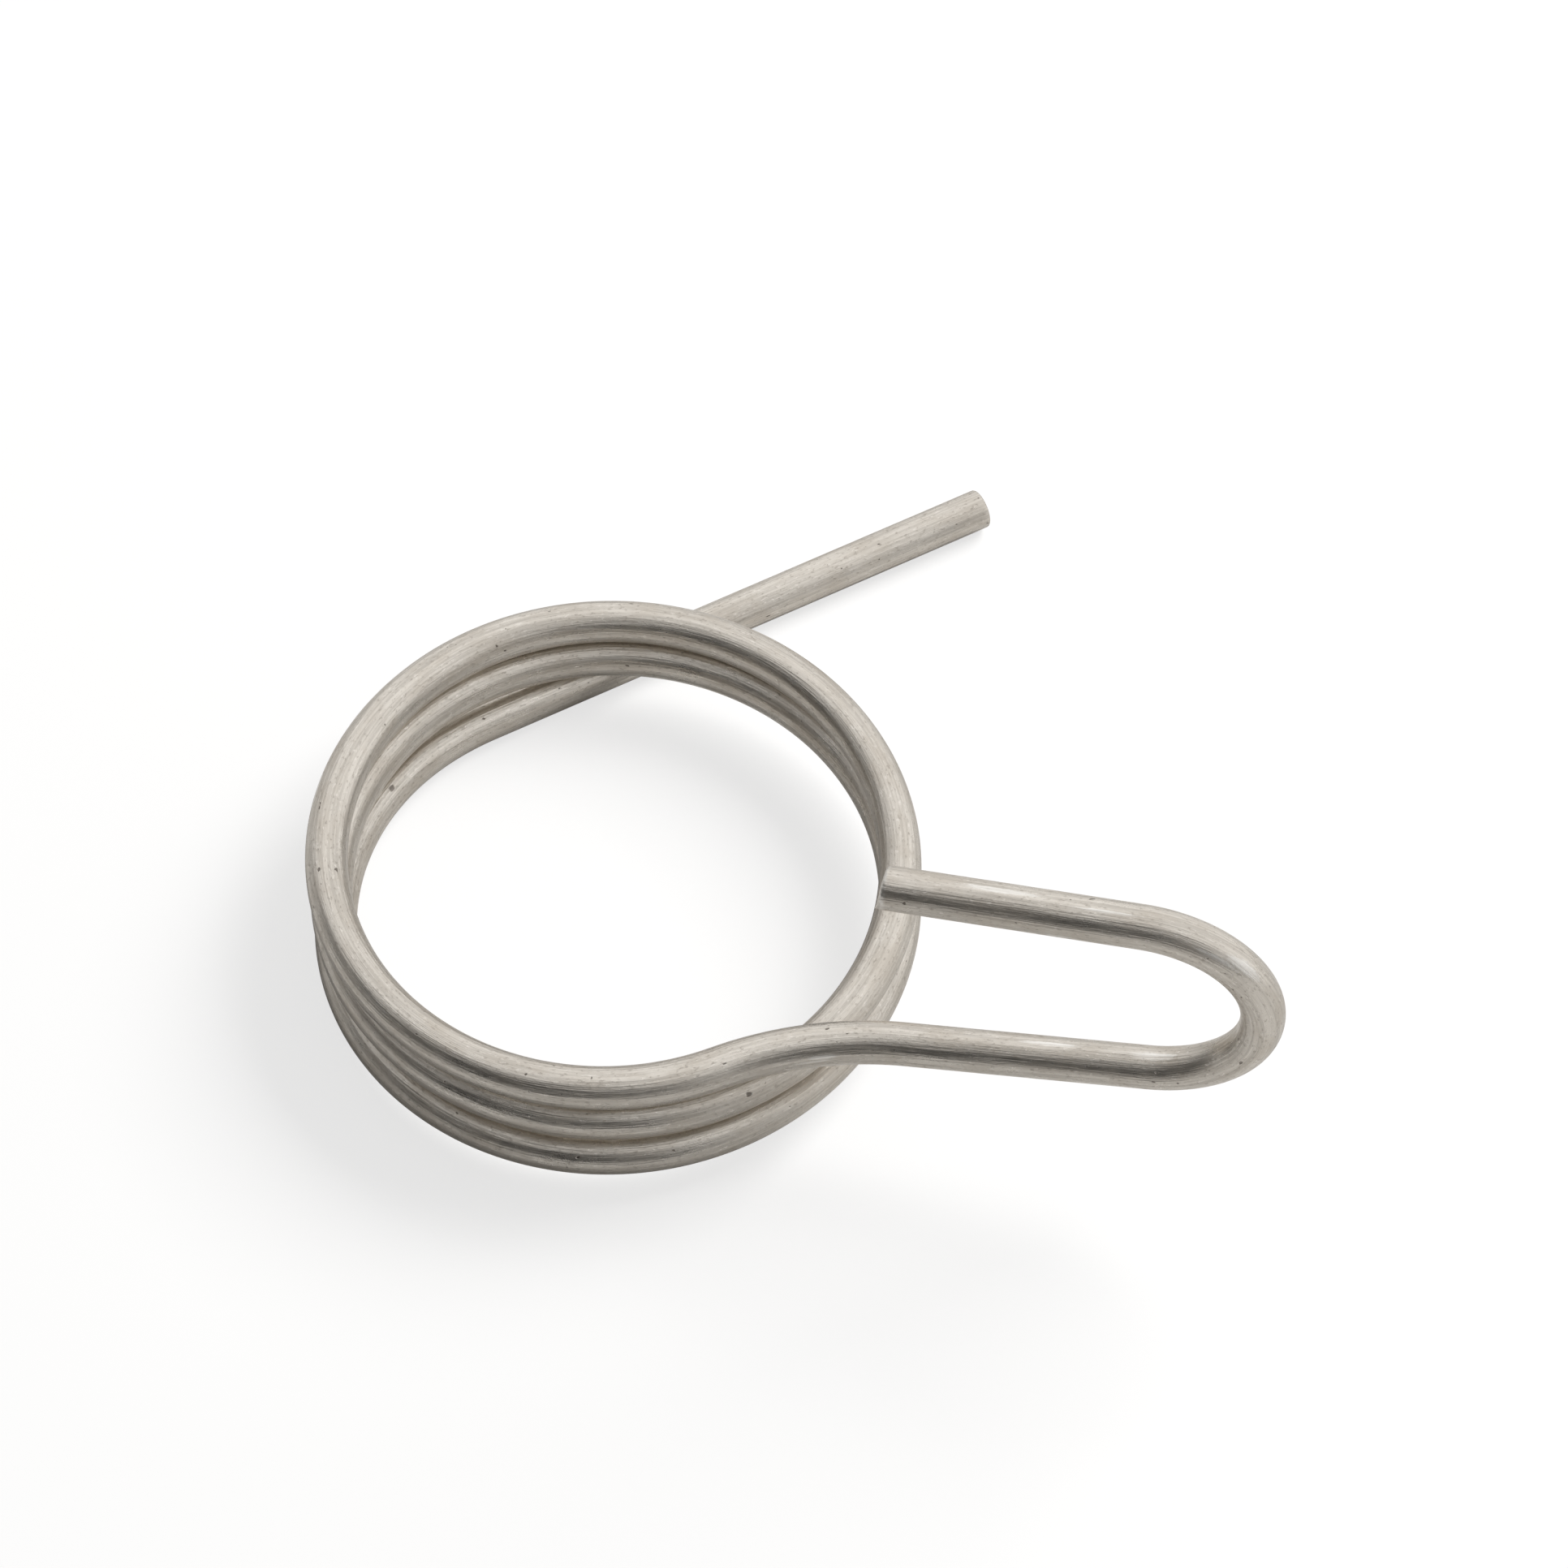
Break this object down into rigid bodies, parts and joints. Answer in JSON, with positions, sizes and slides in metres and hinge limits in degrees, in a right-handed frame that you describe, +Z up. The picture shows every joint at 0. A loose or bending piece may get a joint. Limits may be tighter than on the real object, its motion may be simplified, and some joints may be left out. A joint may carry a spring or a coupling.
{
  "type": "torsion spring",
  "caption": "Wire torsion spring: a short round coil with a straight tangential leg at its foot and a folded-back hook leg at its top.",
  "frame": {"origin": "on the coil's axis, at the level of the surface that the spring lies on", "axes": "+Z up along the coil's axis, +X the heading of the hook's leg, +Y completes the right-handed set; the straight leg runs out at 40.1 degrees from +X towards +Y"},
  "size_m": [0.0587, 0.0543, 0.0263],
  "materials": {
    "spring_steel": "bare drawn spring wire, satin with fine lines along the wire, small pits and light scuffs at the bends"
  },
  "bodies": {
    "root": {"spring_wire": "spring_steel"}
  },
  "joints": []
}
